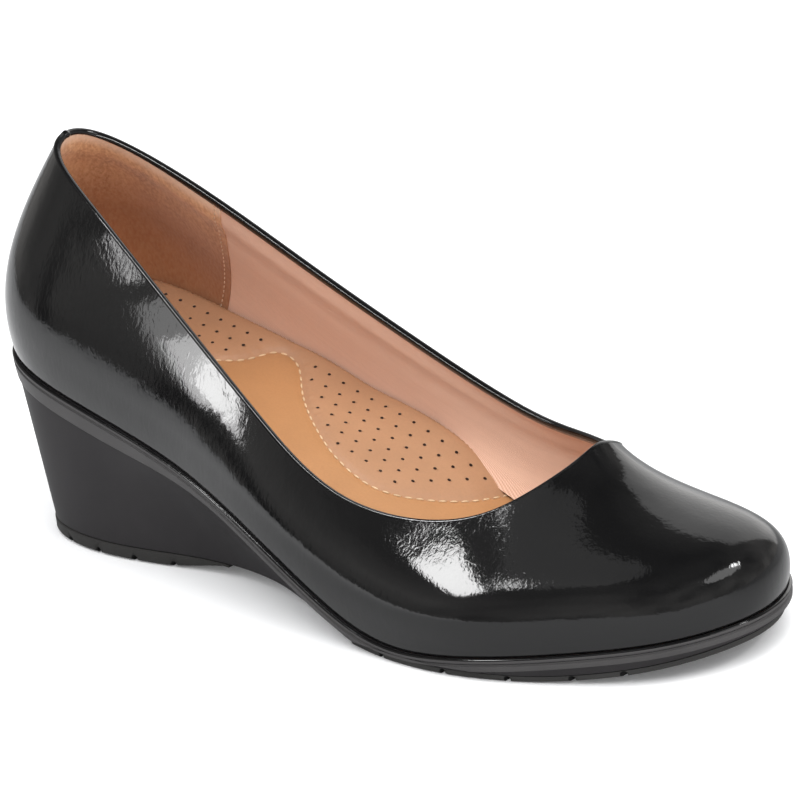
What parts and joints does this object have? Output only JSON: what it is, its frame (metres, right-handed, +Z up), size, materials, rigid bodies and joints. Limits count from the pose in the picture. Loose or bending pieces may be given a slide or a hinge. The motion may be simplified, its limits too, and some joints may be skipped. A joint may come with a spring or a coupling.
{
  "type": "wedge pump",
  "caption": "Round-toed wedge pump for the right foot: a thin lasted upper open at a low collar, a rolled edge round it, a shaped footbed, and a moulded wedge with a rim band and treads.",
  "frame": {"origin": "on the floor under the middle of the shoe's length and width", "axes": "+X from the heel to the toe, +Y from the outer side to the inner side of the foot, +Z up"},
  "size_m": [0.2446, 0.087, 0.1029],
  "materials": {
    "patent_upper": "black patent, high gloss",
    "patent_binding": "black patent, high gloss",
    "tan_insole": "tan, smooth, perforated pads",
    "moulded_sole": "satin black",
    "heel_tread": "matt black",
    "forefoot_tread": "matt black"
  },
  "bodies": {
    "root": {"upper": "patent_upper", "topline_binding": "patent_binding", "insole": "tan_insole", "wedge_sole": "moulded_sole", "heel_outsole": "heel_tread", "forefoot_outsole": "forefoot_tread"}
  },
  "joints": []
}
